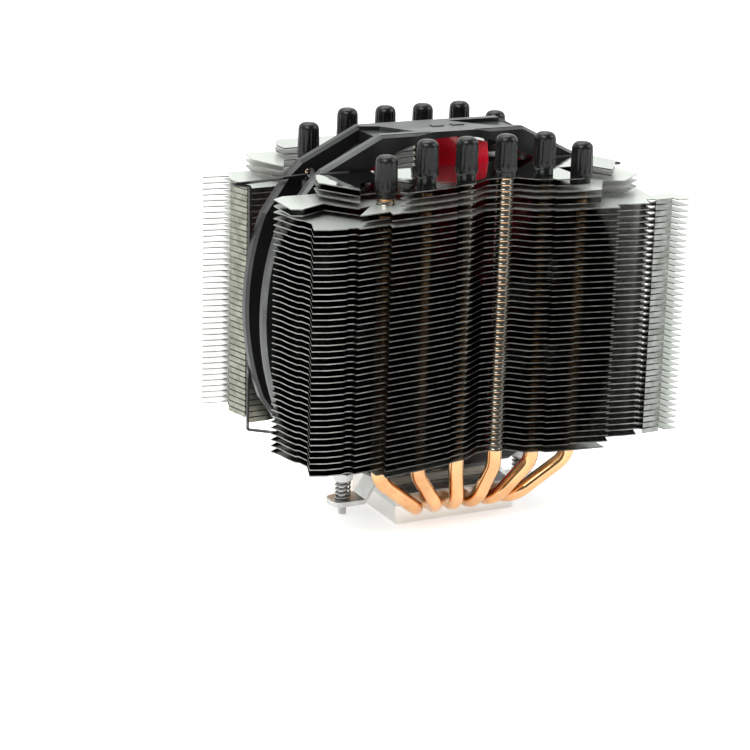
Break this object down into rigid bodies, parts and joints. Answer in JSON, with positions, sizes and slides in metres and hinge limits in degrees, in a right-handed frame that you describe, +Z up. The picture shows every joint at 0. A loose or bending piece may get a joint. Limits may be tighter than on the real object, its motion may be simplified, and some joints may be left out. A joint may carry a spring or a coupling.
{
  "type": "cpu tower cooler",
  "caption": "Tower cooler for a processor: stacks of thin mirror-bright fins on bent heat pipes with black end caps, and a large slim fan clipped between the stacks.",
  "frame": {"origin": "centre of the base's contact face, which is the lowest face", "axes": "+X along the width of the fins, +Y along the fan's air flow from the front stack to the rear stack, +Z up along the heat pipes"},
  "size_m": [0.1775, 0.1122, 0.1601],
  "materials": {
    "copper": "bright drawn copper",
    "cap_plastic": "moulded with fine flutes",
    "fin_metal": "mirror bright plated sheet",
    "base_metal": "polished",
    "cover_metal": "satin machined",
    "screw_steel": "machined",
    "bar_steel": "stamped and plated",
    "spring_steel": "drawn wire",
    "frame_plastic": "moulded, satin gloss",
    "pad_rubber": "matt",
    "blade_plastic": "moulded, translucent red tint",
    "bearing_metal": "turned",
    "core_steel": "laminated",
    "board": "lacquered",
    "magnet": "sintered",
    "label": "blank, satin",
    "wire_steel": "blackened spring wire"
  },
  "bodies": {
    "cooler": {"base_plate": "base_metal", "base_cover": "cover_metal", "base_screws": "screw_steel", "heat_pipe_1": "copper", "heat_pipe_2": "copper", "heat_pipe_3": "copper", "heat_pipe_4": "copper", "heat_pipe_5": "copper", "heat_pipe_6": "copper", "front_cap_1": "cap_plastic", "rear_cap_1": "cap_plastic", "front_cap_2": "cap_plastic", "rear_cap_2": "cap_plastic", "front_cap_3": "cap_plastic", "rear_cap_3": "cap_plastic", "front_cap_4": "cap_plastic", "rear_cap_4": "cap_plastic", "front_cap_5": "cap_plastic", "rear_cap_5": "cap_plastic", "front_cap_6": "cap_plastic", "rear_cap_6": "cap_plastic", "front_fins_top": "fin_metal", "front_fins_step": "fin_metal", "front_fins_full": "fin_metal", "front_fin_bottom": "fin_metal", "rear_fins_top": "fin_metal", "rear_fins_step": "fin_metal", "rear_fins_full": "fin_metal", "rear_fin_bottom": "fin_metal", "fan_frame": "frame_plastic", "fan_pads": "pad_rubber", "bearing_housing": "bearing_metal", "sleeve_bearing": "bearing_metal", "stator_core": "core_steel", "stator_windings": "copper", "fan_circuit_board": "board", "cross_bar_pivot": "screw_steel"},
    "rotor": {"impeller": "blade_plastic", "fan_shaft": "screw_steel", "shaft_ring": "spring_steel", "rotor_steel_ring": "core_steel", "rotor_magnet": "magnet", "hub_label": "label"},
    "bar": {"cross_bar": "bar_steel", "spring_left": "spring_steel", "spring_right": "spring_steel"},
    "screw_left": {"spring_screw_left": "screw_steel", "screw_clip_left": "spring_steel"},
    "screw_right": {"spring_screw_right": "screw_steel", "screw_clip_right": "spring_steel"},
    "clip_left": {"wire_clip_left": "wire_steel"},
    "clip_right": {"wire_clip_right": "wire_steel"}
  },
  "joints": [
    {"name": "fan_spin", "type": "hinge", "parent": "cooler", "child": "rotor", "pos_m": [0, 0, 0.087], "axis": [0, 1, 0], "continuous": true},
    {"name": "bar_swivel", "type": "hinge", "parent": "cooler", "child": "bar", "pos_m": [0, 0, 0.0137], "axis": [0, 0, 1], "range_deg": [-6, 6]},
    {"name": "clip_left_swing", "type": "hinge", "parent": "cooler", "child": "clip_left", "pos_m": [-0.055, 0.01, 0.087], "axis": [0, 0, -1], "range_deg": [0, 10]},
    {"name": "clip_right_swing", "type": "hinge", "parent": "cooler", "child": "clip_right", "pos_m": [0.055, 0.01, 0.087], "axis": [0, 0, 1], "range_deg": [0, 10]},
    {"name": "screw_left_travel", "type": "slide", "parent": "bar", "child": "screw_left", "axis": [0, 0, 1], "range_m": [-0.0035, 0], "stiffness_N_per_m": 1500, "deforming": ["spring_left"]},
    {"name": "screw_right_travel", "type": "slide", "parent": "bar", "child": "screw_right", "axis": [0, 0, 1], "range_m": [-0.0035, 0], "stiffness_N_per_m": 1500, "deforming": ["spring_right"]}
  ]
}
